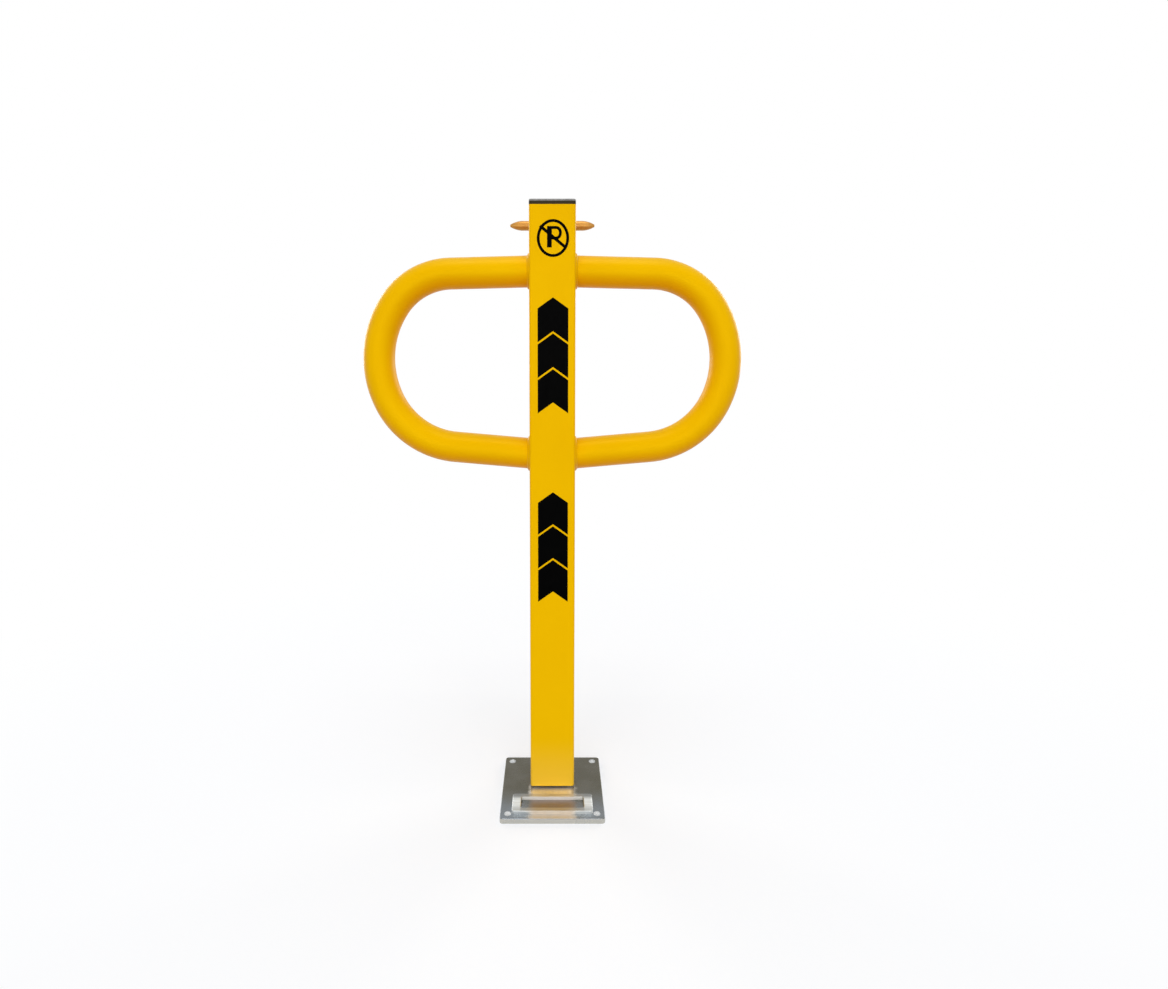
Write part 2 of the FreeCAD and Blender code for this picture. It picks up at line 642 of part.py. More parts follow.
def cam_room_outline(sketch):
    """Quarter round that the cam sweeps, from level with the plug to straight above it."""
    side = number("cam_side")
    sweep = number("cam_sweep")
    far = math.sqrt(sweep ** 2 - side ** 2)
    corner, top, right = (FreeCAD.Vector(*point) for point in ((-side, -side), (-side, far), (far, -side)))
    sketch.addGeometry([
        Part.LineSegment(corner, right),
        bend_arc(FreeCAD.Vector(), top, right),
        Part.LineSegment(top, corner),
    ])
    floor, arc, wall = range(3)
    for before, following in ((floor, arc), (arc, wall), (wall, floor)):
        sketch.addConstraint(Sketcher.Constraint("Coincident", before, 2, following, 1))
    sketch.addConstraint(Sketcher.Constraint("Coincident", arc, 3, -1, 1))
    sketch.addConstraint(Sketcher.Constraint("Horizontal", floor))
    sketch.addConstraint(Sketcher.Constraint("Vertical", wall))
    constrain(sketch, "Radius", arc, text="cam_sweep")
    pin_down(sketch, floor, 1, "-cam_side", "-cam_side")


# Lock housing: turned flange with a rim around the handle's boss and a threaded sleeve through
# the back wall, held by a nut inside. The rim has a notch for the cam at both handle stops.
lock_housing = new_body("lock_housing", y="post_back", z="handle_z")
housing_section = new_sketch(lock_housing, "housing_section", "YZ_Plane")
outline(housing_section, ("sleeve_end", "shank_radius + running_gap"),
        ("flange_thickness", "shank_radius + running_gap"), ("flange_thickness", "rim_inside"),
        ("rim_height", "rim_inside"), ("rim_height", "flange_radius"), ("0", "flange_radius"),
        ("0", "housing_sleeve_radius"), ("sleeve_end", "housing_sleeve_radius"))
revolve(lock_housing, housing_section)
rim_notch = new_sketch(lock_housing, "rim_notch", "XZ_Plane", up="plug_offset", level="rim_height")
cam_room_outline(rim_notch)
notch = pocket(lock_housing, rim_notch, "rim_height - cam_back + cam_gap")
copy_round(lock_housing, notch, "Y_Axis", 2, 90)

nut_blank = doc.addObject("Part::Prism", "nut_blank")
nut_blank.Polygon = 6
bind(nut_blank, "Circumradius", "nut_flats / sqrt(3)")
bind(nut_blank, "Height", "nut_thickness")
nut_blank.Placement = FreeCAD.Placement(FreeCAD.Vector(), ALONG["y"])
NUT_Y = "post_back - post_wall - nut_thickness"
place(nut_blank, "0", NUT_Y, "handle_z")
nut_bore = cylinder("nut_bore", "housing_sleeve_radius + running_gap", "nut_thickness", "y", "0", NUT_Y, "handle_z")
cut("housing_nut", nut_blank, nut_bore)
ring("handle_washer", "washer_radius", "shank_radius + running_gap", "washer_thickness", "y",
     "0", "post_back + flange_thickness", "handle_z")

# T-handle: one casting of boss, shank and two tapered arms, with a bore for the key plug
# above its middle and a pocket that the cam turns in
t_handle = new_body("t_handle", y="post_back", z="handle_z")
boss_section = new_sketch(t_handle, "boss_section", "YZ_Plane")
outline(boss_section, ("shank_end", "0"), ("shank_end", "shank_radius"), ("boss_back", "shank_radius"),
        ("boss_back", "boss_radius"), ("boss_front", "boss_radius"), ("boss_front", "0"))
revolve(t_handle, boss_section)
boss_front = number("boss_front")
ease(t_handle, "Fillet", "boss_round", lambda edge: level_edge(edge, "y", boss_front))
arm_section = new_sketch(t_handle, "arm_section", "XZ_Plane", level="arm_standoff")
arm_points = [FreeCAD.Vector(number(across), number(up)) for across, up in (
    ("0", "0"), ("0", "arm_root_radius"), ("arm_shoulder", "arm_shoulder_radius"),
    ("arm_length", "arm_tip_radius"), ("arm_length", "0"))]
nose_chord = arm_points[3] - arm_points[2]
nose_radius = number("arm_nose_radius")
nose_middle = (arm_points[2] + arm_points[3]) / 2 + FreeCAD.Vector(nose_chord.y, -nose_chord.x).normalize() * (
    math.sqrt(nose_radius ** 2 - nose_chord.Length ** 2 / 4))
arm_section.addGeometry([
    Part.LineSegment(arm_points[0], arm_points[1]),
    Part.LineSegment(arm_points[1], arm_points[2]),
    bend_arc(nose_middle, arm_points[2], arm_points[3]),
    Part.LineSegment(arm_points[3], arm_points[4]),
    Part.LineSegment(arm_points[4], arm_points[0]),
])
ROOT_EDGE, TAPER, NOSE, TIP_EDGE, MIDDLE_LINE = range(5)
for before, end, after, start in ((ROOT_EDGE, 2, TAPER, 1), (TAPER, 2, NOSE, 2), (NOSE, 1, TIP_EDGE, 1),
                                  (TIP_EDGE, 2, MIDDLE_LINE, 1), (MIDDLE_LINE, 2, ROOT_EDGE, 1)):
    arm_section.addConstraint(Sketcher.Constraint("Coincident", before, end, after, start))
pin_down(arm_section, ROOT_EDGE, 1, "0", "0")
pin_down(arm_section, TAPER, 1, "0", "arm_root_radius")
pin_down(arm_section, TAPER, 2, "arm_shoulder", "arm_shoulder_radius")
pin_down(arm_section, TIP_EDGE, 1, "arm_length", "arm_tip_radius")
pin_down(arm_section, MIDDLE_LINE, 1, "arm_length", "0")
constrain(arm_section, "Radius", NOSE, text="arm_nose_radius")
arm_turn = revolve(t_handle, arm_section)
arm_twin = t_handle.newObject("PartDesign::Mirrored", "arm_twin")
arm_twin.Originals = [arm_turn]
arm_twin.MirrorPlane = (origin_part(t_handle, "YZ_Plane"), [""])
t_handle.Tip = arm_twin
plug_bore = new_sketch(t_handle, "plug_bore", "XZ_Plane", up="plug_offset", level="boss_front + arm_root_radius")
circle(plug_bore, "plug_radius + running_gap")
pocket(t_handle, plug_bore, "boss_front + arm_root_radius - cam_front")
hub_room = new_sketch(t_handle, "hub_room", "XZ_Plane", up="plug_offset", level="cam_front + cam_gap")
circle(hub_room, "cam_hub_radius + slot_gap")
pocket(t_handle, hub_room, "cam_thickness + 2 * cam_gap")
cam_room = new_sketch(t_handle, "cam_room", "XZ_Plane", up="plug_offset", level="cam_front + cam_gap")
cam_room_outline(cam_room)
pocket(t_handle, cam_room, "cam_thickness + 2 * cam_gap")

# Key plug with its keyway and a square tang, and the cam on the tang
key_plug = new_body("key_plug", y="post_back", z="handle_z + plug_offset")
plug_section = new_sketch(key_plug, "plug_section", "XZ_Plane", level="cam_front")
circle(plug_section, "plug_radius")
pad(key_plug, plug_section, "boss_front + plug_proud - cam_front")
plug_tang = new_sketch(key_plug, "plug_tang", "XZ_Plane", level="cam_front")
square(plug_tang, "tang_side")
pad(key_plug, plug_tang, "cam_thickness", towards=-1)
keyway = new_sketch(key_plug, "keyway", "XZ_Plane", level="boss_front + plug_proud")
rectangle(keyway, "-keyway_width / 2", "-keyway_height / 2", "keyway_width / 2", "keyway_height / 2")
pocket(key_plug, keyway, "keyway_depth")
plug_cam = new_body("plug_cam", y="post_back", z="handle_z + plug_offset")
cam_outline = new_sketch(plug_cam, "cam_outline", "XZ_Plane", level="cam_back")
rectangle(cam_outline, "0", "-cam_width / 2", "cam_reach", "cam_width / 2")
pad(plug_cam, cam_outline, "cam_thickness")
cam_hub = new_sketch(plug_cam, "cam_hub", "XZ_Plane", level="cam_back")
circle(cam_hub, "cam_hub_radius")
pad(plug_cam, cam_hub, "cam_thickness")
cam_square = new_sketch(plug_cam, "cam_square", "XZ_Plane", level="cam_front")
square(cam_square, "tang_side + 2 * running_gap")
pocket(plug_cam, cam_square, "cam_thickness")

NODES = [
    "base_plate", "landing_frame", "hinge_lug_left", "hinge_lug_right", "keeper_bush",
    "post_tube", "hoop_left", "hoop_right", "top_cap", "hinge_pin", "hinge_sleeve_left",
    "hinge_sleeve_middle", "hinge_sleeve_right", "rod_guide_lower", "rod_guide_upper",
    "lock_housing", "housing_nut", "handle_washer",
    "t_handle", "crank", "crank_screw", "key_plug", "plug_cam",
    "lock_rod", "rod_yoke", "yoke_pin",
]

doc.recompute()
faults = [item.Label for item in doc.Objects if {"Invalid", "Error"} & set(item.State)]
pieces = {node: doc.getObjectsByLabel(node)[0].Shape for node in NODES}
faults += [node for node, shape in pieces.items() if shape.isNull() or not shape.isValid()]
if faults:
    raise RuntimeError("not built: " + ", ".join(faults))
os.makedirs("parts", exist_ok=True)
for node, shape in pieces.items():
    shape.exportStep(os.path.join("parts", node + ".step"))
    print(f"{node}: {len(shape.Solids)} solid, {shape.Volume / 1000:.2f} cm3")
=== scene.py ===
import math

import bpy
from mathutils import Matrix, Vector


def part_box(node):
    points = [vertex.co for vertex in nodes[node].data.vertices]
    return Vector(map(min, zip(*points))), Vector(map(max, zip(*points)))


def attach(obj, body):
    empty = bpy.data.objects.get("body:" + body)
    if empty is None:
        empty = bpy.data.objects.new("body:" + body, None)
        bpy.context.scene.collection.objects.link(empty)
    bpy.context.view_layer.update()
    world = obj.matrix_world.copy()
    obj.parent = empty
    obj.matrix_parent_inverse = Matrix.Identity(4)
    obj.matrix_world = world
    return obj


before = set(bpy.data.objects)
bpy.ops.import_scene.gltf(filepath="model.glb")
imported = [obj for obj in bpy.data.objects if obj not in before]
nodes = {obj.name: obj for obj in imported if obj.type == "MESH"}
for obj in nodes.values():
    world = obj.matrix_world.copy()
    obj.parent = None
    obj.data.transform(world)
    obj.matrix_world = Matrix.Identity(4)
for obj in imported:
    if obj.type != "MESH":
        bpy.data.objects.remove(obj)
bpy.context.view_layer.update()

# Camera
# It stands a metre in front of the post, at the height of the hoops, and looks a little down,
# so that the top of the base plate shows.
CAMERA_PLACE = (0, -1.0669, 0.7148)
CAMERA_TILT = math.radians(83.93)
bpy.ops.object.select_all(action="DESELECT")
bpy.ops.object.camera_add(location=CAMERA_PLACE, rotation=(CAMERA_TILT, 0, 0))
camera = bpy.context.object
camera.data.sensor_width = 36
camera.data.lens = 21.58
camera.data.shift_x = 0.0271
camera.data.shift_y = -0.062
bpy.context.scene.camera = camera

# Studio
# Pale floor in a white room, with wide soft lamps in front, above and behind both shoulders
# of the barrier. The floor sends warm light back up, and looks white itself.
FLOOR_LIFT = 0.53
SHADOW_REACH = 0.5
WHITE_FROM = 1.5
scene = bpy.context.scene
scene.view_settings.view_transform = "Standard"


def combine(tree, operation, one, other=0):
    """Joins two patterns, or a pattern and a number, by a sum, a product or the like."""
    join = tree.nodes.new("ShaderNodeMath")
    join.operation = operation
    for socket, value in zip(join.inputs, (one, other)):
        if isinstance(value, (int, float)):
            socket.default_value = value
        else:
            tree.links.new(value, socket)
    return join.outputs[0]


def spread(tree, value, low, high, to_low=0.0, to_high=1.0):
    """Turns a range of a pattern into another range, and holds it at the ends."""
    mapping = tree.nodes.new("ShaderNodeMapRange")
    mapping.interpolation_type = "SMOOTHSTEP"
    mapping.inputs["From Min"].default_value = low
    mapping.inputs["From Max"].default_value = high
    mapping.inputs["To Min"].default_value = to_low
    mapping.inputs["To Max"].default_value = to_high
    tree.links.new(value, mapping.inputs["Value"])
    return mapping.outputs["Result"]


def seen_directly(tree):
    """Shows 1 where a ray comes from the camera, a reflection or a clear body."""
    rays = tree.nodes.new("ShaderNodeLightPath").outputs
    camera_or_gloss = combine(tree, "MAXIMUM", rays["Is Camera Ray"], rays["Is Glossy Ray"])
    return combine(tree, "MAXIMUM", camera_or_gloss, rays["Is Transmission Ray"])


world = bpy.data.worlds.new("studio_air")
world.use_nodes = True
scene.world = world
air = world.node_tree
air.nodes.clear()
air_out = air.nodes.new("ShaderNodeOutputWorld")
seen_air = air.nodes.new("ShaderNodeBackground")
seen_air.inputs["Color"].default_value = (1, 1, 1, 1)
seen_air.inputs["Strength"].default_value = 1.0
lit_air = air.nodes.new("ShaderNodeBackground")
lit_air.inputs["Color"].default_value = (1, 0.975, 0.94, 1)
lit_air.inputs["Strength"].default_value = 0.47
air_mix = air.nodes.new("ShaderNodeMixShader")
air.links.new(seen_directly(air), air_mix.inputs[0])
air.links.new(lit_air.outputs[0], air_mix.inputs[1])
air.links.new(seen_air.outputs[0], air_mix.inputs[2])
air.links.new(air_mix.outputs[0], air_out.inputs["Surface"])

bpy.ops.mesh.primitive_plane_add(size=16)
floor = bpy.context.object
floor.name = "studio_floor"
floor_paint = bpy.data.materials.new("studio_floor")
floor_paint.use_nodes = True
ground = floor_paint.node_tree
ground.nodes.clear()
ground_out = ground.nodes.new("ShaderNodeOutputMaterial")
ground_matt = ground.nodes.new("ShaderNodeBsdfDiffuse")
ground_matt.inputs["Color"].default_value = (0.6, 0.56, 0.5, 1)
ground_seen = seen_directly(ground)
ground_lift = combine(ground, "MULTIPLY", ground_seen, FLOOR_LIFT)
ground_glow = ground.nodes.new("ShaderNodeEmission")
ground_glow.inputs["Color"].default_value = (0.75, 0.85, 1, 1)
ground.links.new(ground_lift, ground_glow.inputs["Strength"])
ground_near = ground.nodes.new("ShaderNodeAddShader")
ground.links.new(ground_matt.outputs[0], ground_near.inputs[0])
ground.links.new(ground_glow.outputs[0], ground_near.inputs[1])
ground_far = ground.nodes.new("ShaderNodeEmission")
ground_where = ground.nodes.new("ShaderNodeTexCoord")
ground_reach = ground.nodes.new("ShaderNodeVectorMath")
ground_reach.operation = "LENGTH"
ground.links.new(ground_where.outputs["Object"], ground_reach.inputs[0])
ground_fade = spread(ground, ground_reach.outputs["Value"], SHADOW_REACH, WHITE_FROM)
ground_share = combine(ground, "MULTIPLY", ground_fade, ground_seen)
ground_mix = ground.nodes.new("ShaderNodeMixShader")
ground.links.new(ground_share, ground_mix.inputs[0])
ground.links.new(ground_near.outputs[0], ground_mix.inputs[1])
ground.links.new(ground_far.outputs[0], ground_mix.inputs[2])
ground.links.new(ground_mix.outputs[0], ground_out.inputs["Surface"])
floor.data.materials.append(floor_paint)


def soft_lamp(name, place, aim, width, height, power):
    """Wide flat lamp at a place, turned towards the point that it lights."""
    bpy.ops.object.light_add(type="AREA", location=place)
    lamp = bpy.context.object
    lamp.name = name
    lamp.data.shape = "RECTANGLE"
    lamp.data.size = width
    lamp.data.size_y = height
    lamp.data.energy = power
    lamp.rotation_euler = (Vector(aim) - Vector(place)).to_track_quat("-Z", "Y").to_euler()


soft_lamp("lamp_front", place=(0, -4.2, 1.05), aim=(0, 0, 0.45), width=5.6, height=2.0, power=92)
soft_lamp("lamp_over", place=(0, -0.7, 4.0), aim=(0, 0, 0.5), width=1.8, height=1.8, power=40)
for name, x in (("lamp_left", -2.9), ("lamp_right", 2.9)):
    soft_lamp(name, place=(x, 2.9, 1.5), aim=(0, 0, 0.5), width=2.6, height=2.2, power=58)

# Base plate
# Square of 8 mm steel plate, flame cut, zinc plated and bolted down at its corners. Its top has
# stains in patches and painted shade that darkens it towards the rear. In front of the post, where
# the post comes down, a reflection of the post is painted on it, pale and dull, with painted shade
# in the slot. The walls of the bolt holes carry painted light.
FRAME_MIDDLE = -0.048
SLOT_HALF = 0.013
HOLE_OFFSET = 0.068
HOLE_REACH = 0.007
REFLECTION_FULLY = 0.028
REFLECTION_UNTIL = 0.0405


def new_finish(name, rough, metal=0.0, shine=0.5):
    """New material with one shader. Gives the material, its node tree and the shader."""
    finish = bpy.data.materials.new(name)
    finish.use_nodes = True
    tree = finish.node_tree
    shader = tree.nodes["Principled BSDF"]
    shader.inputs["Roughness"].default_value = rough
    shader.inputs["Metallic"].default_value = metal
    shader.inputs["Specular IOR Level"].default_value = shine
    return finish, tree, shader


def dress(finish, *names):
    """Gives a finish to pieces whose shape comes from the frame."""
    for name in names:
        nodes[name].material_slots[0].material = finish


def on_piece(tree, stretch=(1, 1, 1)):
    """Places on the piece in metres, stretched for a pattern with a direction."""
    where = tree.nodes.new("ShaderNodeTexCoord")
    mapping = tree.nodes.new("ShaderNodeMapping")
    mapping.inputs["Scale"].default_value = stretch
    tree.links.new(where.outputs["Object"], mapping.inputs["Vector"])
    return mapping.outputs["Vector"]


def cloud(tree, fineness, detail=3.0, stretch=(1, 1, 1)):
    """Cloudy pattern with so many patches to a metre."""
    noise = tree.nodes.new("ShaderNodeTexNoise")
    noise.inputs["Scale"].default_value = fineness
    noise.inputs["Detail"].default_value = detail
    tree.links.new(on_piece(tree, stretch), noise.inputs["Vector"])
    return noise.outputs["Fac"]


def tinted(tree, share, under, over):
    """Goes from one colour to another as a pattern rises. Either may be a pattern itself."""
    mix = tree.nodes.new("ShaderNodeMix")
    mix.data_type = "RGBA"
    tree.links.new(share, mix.inputs["Factor"])
    for socket, value in ((mix.inputs[6], under), (mix.inputs[7], over)):
        if isinstance(value, tuple):
            socket.default_value = (*value, 1)
        else:
            tree.links.new(value, socket)
    return mix.outputs[2]


def relief(tree, shader, height, depth, strength):
    """Raises the surface by a pattern, to a depth in metres."""
    bump = tree.nodes.new("ShaderNodeBump")
    bump.inputs["Strength"].default_value = strength
    bump.inputs["Distance"].default_value = depth
    tree.links.new(height, bump.inputs["Height"])
    tree.links.new(bump.outputs["Normal"], shader.inputs["Normal"])


def axis_place(tree, axis):
    """Place along one axis, in metres."""
    split = tree.nodes.new("ShaderNodeSeparateXYZ")
    tree.links.new(on_piece(tree), split.inputs[0])
    return split.outputs[axis]


def facing(tree, axis):
    """Shows 1 on faces that look along an axis, 0 on those beside it and -1 on those against it."""
    where = tree.nodes.new("ShaderNodeTexCoord")
    split = tree.nodes.new("ShaderNodeSeparateXYZ")
    tree.links.new(where.outputs["Normal"], split.inputs[0])
    return split.outputs[axis]


def from_line(tree, axis, line):
    """Distance from a line across the piece, in metres, the same on both halves."""
    outward = combine(tree, "ABSOLUTE", axis_place(tree, axis))
    return combine(tree, "ABSOLUTE", combine(tree, "SUBTRACT", outward, line))


def from_frame_middle(tree):
    """Distance from the line along the middle of the landing frame, in metres."""
    forward = combine(tree, "SUBTRACT", axis_place(tree, "Y"), FRAME_MIDDLE)
    return combine(tree, "ABSOLUTE", forward)


def post_reflection_strip(tree):
    """Shows 1 in the strip as wide as the post and in front of it, where it lands and where a
    reflection of the post is painted.
    """
    stray = spread(tree, cloud(tree, 90, 4), 0.3, 0.7, -0.002, 0.002)
    sideways = combine(tree, "ADD", from_line(tree, "X", 0), stray)
    beside = spread(tree, sideways, REFLECTION_FULLY, REFLECTION_UNTIL, 1.0, 0.0)
    ahead = spread(tree, axis_place(tree, "Y"), -0.003, 0.008, 1.0, 0.0)
    reflection_patches = spread(tree, cloud(tree, 60, 5, (1, 0.25, 1)), 0.3, 0.62, 0.8, 1.0)
    return combine(tree, "MULTIPLY", combine(tree, "MULTIPLY", beside, ahead), reflection_patches)


plate_zinc, tree, shader = new_finish("zinc_stains_and_painted_light", 0.3, metal=1.0)
# Painted shade: the top is darker towards the rear. Patches of dark stain lie over it.
rear_painted_shade = spread(tree, axis_place(tree, "Y"), -0.078, 0.0)
stains_and_painted_shade = tinted(tree, rear_painted_shade, (0.222, 0.246, 0.268), (0.112, 0.105, 0.08))
patches = spread(tree, cloud(tree, 30, 4), 0.4, 0.7, 0.0, 0.45)
stains_and_painted_shade = tinted(tree, patches, stains_and_painted_shade, (0.155, 0.148, 0.126))

# Painted reflection of the post: pale near the post, and brown and darker inside the slot as
# painted shade.
near_post = spread(tree, axis_place(tree, "Y"), -0.072, -0.02)
reflection_colour = tinted(tree, near_post, (0.6, 0.55, 0.49), (0.92, 0.88, 0.82))
in_slot = spread(tree, from_frame_middle(tree), SLOT_HALF - 0.001, SLOT_HALF + 0.001, 1.0, 0.0)
reflection_colour = tinted(tree, in_slot, reflection_colour, (0.28, 0.228, 0.2))
painted_post_reflection = post_reflection_strip(tree)
top_face = tinted(tree, painted_post_reflection, stains_and_painted_shade, reflection_colour)

hole_beside = from_line(tree, "X", HOLE_OFFSET)
hole_ahead = from_line(tree, "Y", HOLE_OFFSET)
from_hole = combine(tree, "MAXIMUM", hole_beside, hole_ahead)
by_hole = spread(tree, from_hole, HOLE_REACH - 0.0005, HOLE_REACH + 0.0005, 1.0, 0.0)
# Painted light: the walls of the bolt holes are near white at the rim, and painted shade makes them
# darker down the hole.
near_rim = spread(tree, axis_place(tree, "Z"), 0.0, 0.0065)
painted_light_hole_wall = tinted(tree, near_rim, (0.6, 0.6, 0.58), (0.96, 0.96, 0.94))
cut_face = tinted(tree, by_hole, (0.53, 0.52, 0.475), painted_light_hole_wall)
eased = spread(tree, facing(tree, "Z"), 0.08, 0.3)
side_face = tinted(tree, eased, cut_face, stains_and_painted_shade)
level = spread(tree, facing(tree, "Z"), 0.8, 0.98)
plate_colour = tinted(tree, level, side_face, top_face)

tree.links.new(plate_colour, shader.inputs["Base Color"])
tree.links.new(spread(tree, painted_post_reflection, 0.0, 1.0, 1.0, 0.68), shader.inputs["Metallic"])
rough_patches = spread(tree, cloud(tree, 95, 4), 0.3, 0.7, 0.2, 0.32)
dulled = combine(tree, "ADD", rough_patches, spread(tree, painted_post_reflection, 0.0, 1.0, 0.0, 0.1))
tree.links.new(dulled, shader.inputs["Roughness"])
relief(tree, shader, cloud(tree, 260, 3), depth=0.00005, strength=0.35)
dress(plate_zinc, "base_plate")

# Landing frame
# Low frame of flat bar on the plate, with fine lines from the mill. Its two ends carry painted
# highlights, darker at their rear. Where the post comes down, a reflection of the post is painted
# on the bars. The slot has painted shade inside, with the post's reflection painted on its walls,
# and its rear wall is near white and less metallic.
BAR_END_FROM = 0.0478
BAR_END_FULLY = 0.0505
frame_zinc, tree, shader = new_finish("bright_zinc_painted_light", 0.3, metal=1.0)
mill_lines = cloud(tree, 300, 2, (0.12, 1, 1))
mill_share = spread(tree, mill_lines, 0.3, 0.7)
rear_bar = spread(tree, axis_place(tree, "Y"), -0.056, -0.04)
bar_grey = tinted(tree, rear_bar, (0.33, 0.34, 0.33), (0.26, 0.26, 0.245))
bar_lines = combine(tree, "MULTIPLY", mill_share, 0.5)
bar_grey = tinted(tree, bar_lines, bar_grey, (0.33, 0.325, 0.31))

# Painted highlight: the bar ends are pale near the frame's middle line, greyer away from it and
# dark at their rear.
end_highlight_reach = spread(tree, from_frame_middle(tree), 0.003, 0.021)
end_painted_highlight = tinted(tree, end_highlight_reach, (0.78, 0.8, 0.78), (0.44, 0.46, 0.45))
end_painted_highlight = tinted(tree, bar_lines, end_painted_highlight, (0.5, 0.51, 0.5))
end_rear = spread(tree, axis_place(tree, "Y"), -0.041, -0.031)
end_painted_highlight = tinted(tree, end_rear, end_painted_highlight, (0.24, 0.245, 0.24))
bar_end = spread(tree, from_line(tree, "X", 0), BAR_END_FROM, BAR_END_FULLY)
bar_grey = tinted(tree, bar_end, bar_grey, end_painted_highlight)

# Painted reflection of the post on the bars where the post comes down, paler on the rear bar.
bar_reflection = tinted(tree, rear_bar, (0.42, 0.38, 0.33), (0.62, 0.58, 0.5))
painted_post_reflection = post_reflection_strip(tree)
top_face = tinted(tree, painted_post_reflection, bar_grey, bar_reflection)

# Painted shade inside the slot, with a brown reflection of the post painted on its walls.
in_slot = spread(tree, from_frame_middle(tree), SLOT_HALF - 0.0001, SLOT_HALF + 0.0003, 1.0, 0.0)
side_face = tinted(tree, in_slot, (0.88, 0.89, 0.87), (0.4, 0.38, 0.35))
side_reflection = tinted(tree, in_slot, (0.72, 0.63, 0.52), (0.62, 0.44, 0.3))
side_face = tinted(tree, painted_post_reflection, side_face, side_reflection)
# The slot's rear wall is near white and less metallic than the rest.
looks_forward = spread(tree, facing(tree, "Y"), -0.9, -0.5, 1.0, 0.0)
slot_rear_wall = combine(tree, "MULTIPLY", looks_forward, in_slot)
side_face = tinted(tree, slot_rear_wall, side_face, (0.95, 0.93, 0.88))

edge = tinted(tree, painted_post_reflection, (0.46, 0.46, 0.44), (0.42, 0.38, 0.32))
edge = tinted(tree, bar_end, edge, end_painted_highlight)
eased = spread(tree, facing(tree, "Z"), 0.1, 0.3)
side_face = tinted(tree, eased, side_face, edge)
level = spread(tree, facing(tree, "Z"), 0.85, 0.98)
frame_colour = tinted(tree, level, side_face, top_face)

tree.links.new(frame_colour, shader.inputs["Base Color"])
dulled = spread(tree, painted_post_reflection, 0.0, 1.0, 1.0, 0.68)
rear_wall_metal = spread(tree, slot_rear_wall, 0.0, 1.0, 1.0, 0.3)
tree.links.new(combine(tree, "MINIMUM", dulled, rear_wall_metal), shader.inputs["Metallic"])
tree.links.new(spread(tree, mill_share, 0.0, 1.0, 0.3, 0.42), shader.inputs["Roughness"])
relief(tree, shader, mill_lines, depth=0.00005, strength=0.4)
dress(frame_zinc, "landing_frame")

# Hinge lugs and keeper
# Two flame-cut brackets that carry the post's hinge, and the bush for the lock rod's tip.
# Both are of the plate's steel, zinc plated, with the greyish mottle of a thick coat.
lug_zinc, tree, shader = new_finish("mottled_zinc", 0.36, metal=1.0)
flakes = tree.nodes.new("ShaderNodeTexVoronoi")
flakes.inputs["Scale"].default_value = 240
tree.links.new(on_piece(tree), flakes.inputs["Vector"])
flake_tone = spread(tree, flakes.outputs["Color"], 0.1, 0.9)
lug_colour = tinted(tree, flake_tone, (0.4, 0.41, 0.42), (0.58, 0.59, 0.59))
tree.links.new(lug_colour, shader.inputs["Base Color"])
relief(tree, shader, cloud(tree, 320, 4), depth=0.0001, strength=0.6)
dress(lug_zinc, "hinge_lug_left", "hinge_lug_right", "keeper_bush")

# Weld seams of the lugs
# Each lug is welded to the plate along both sides. A seam is a row of overlapping drops of
# weld, one for each step of the welder's hand.
SEAM_DROPS = 17
SEAM_STEP = 0.0014
SEAM_RADIUS = 0.0021
SEAM_INSET = 0.0015
DROP_SQUASH = (1, 0.62, 0.9)
WELD_GRAIN = 0.0003
seam_metal, tree, shader = new_finish("weld_metal", 0.38, metal=1.0)
heat = spread(tree, cloud(tree, 150, 3), 0.35, 0.65)
weld_colour = tinted(tree, heat, (0.4, 0.39, 0.37), (0.54, 0.53, 0.5))
tree.links.new(weld_colour, shader.inputs["Base Color"])
relief(tree, shader, cloud(tree, 700, 3), depth=0.00008, strength=0.5)


def pick(piece):
    """Selects one piece alone."""
    bpy.ops.object.select_all(action="DESELECT")
    piece.select_set(True)
    bpy.context.view_layer.objects.active = piece


def apply_modifiers(piece):
    """Makes the modifiers of a piece part of its mesh."""
    pick(piece)
    for modifier in list(piece.modifiers):
        bpy.ops.object.modifier_apply(modifier=modifier.name)


def copy_of(piece):
    """Gives a copy of a piece, with a mesh of its own."""
    pick(piece)
    bpy.ops.object.duplicate(linked=False)
    return bpy.context.object


def settle(piece, name, finish, body):
    """Puts the piece's place into its mesh, and gives it its name, finish, body and slot."""
    pick(piece)
    bpy.ops.object.transform_apply(location=True, rotation=True, scale=True)
    piece.name = name
    piece.data.name = name
    piece.data.materials.clear()
    piece.data.materials.append(finish)
    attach(piece, body)


lug_low, lug_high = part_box("hinge_lug_right")
bpy.ops.object.select_all(action="DESELECT")
bpy.ops.mesh.primitive_uv_sphere_add(segments=20, ring_count=12, radius=SEAM_RADIUS,
                                     location=(0, lug_high.y - SEAM_INSET, lug_low.z))
lug_seam = bpy.context.object
bpy.ops.object.mode_set(mode="EDIT")
bpy.ops.transform.resize(value=DROP_SQUASH)
bpy.ops.object.mode_set(mode="OBJECT")
row = lug_seam.modifiers.new("row", "ARRAY")
row.count = SEAM_DROPS
row.use_relative_offset = False
row.use_constant_offset = True
row.constant_offset_displace = (0, -SEAM_STEP, 0)
weld = lug_seam.modifiers.new("weld", "REMESH")
weld.mode = "VOXEL"
weld.voxel_size = WELD_GRAIN
apply_modifiers(lug_seam)
bpy.ops.object.shade_smooth()
for side, x in (("left_outer", -lug_high.x), ("left_inner", -lug_low.x),
                ("right_inner", lug_low.x), ("right_outer", lug_high.x)):
    seam = copy_of(lug_seam)
    seam.location.x = x
    settle(seam, "lug_seam_" + side, seam_metal, "base")
bpy.data.objects.remove(lug_seam)

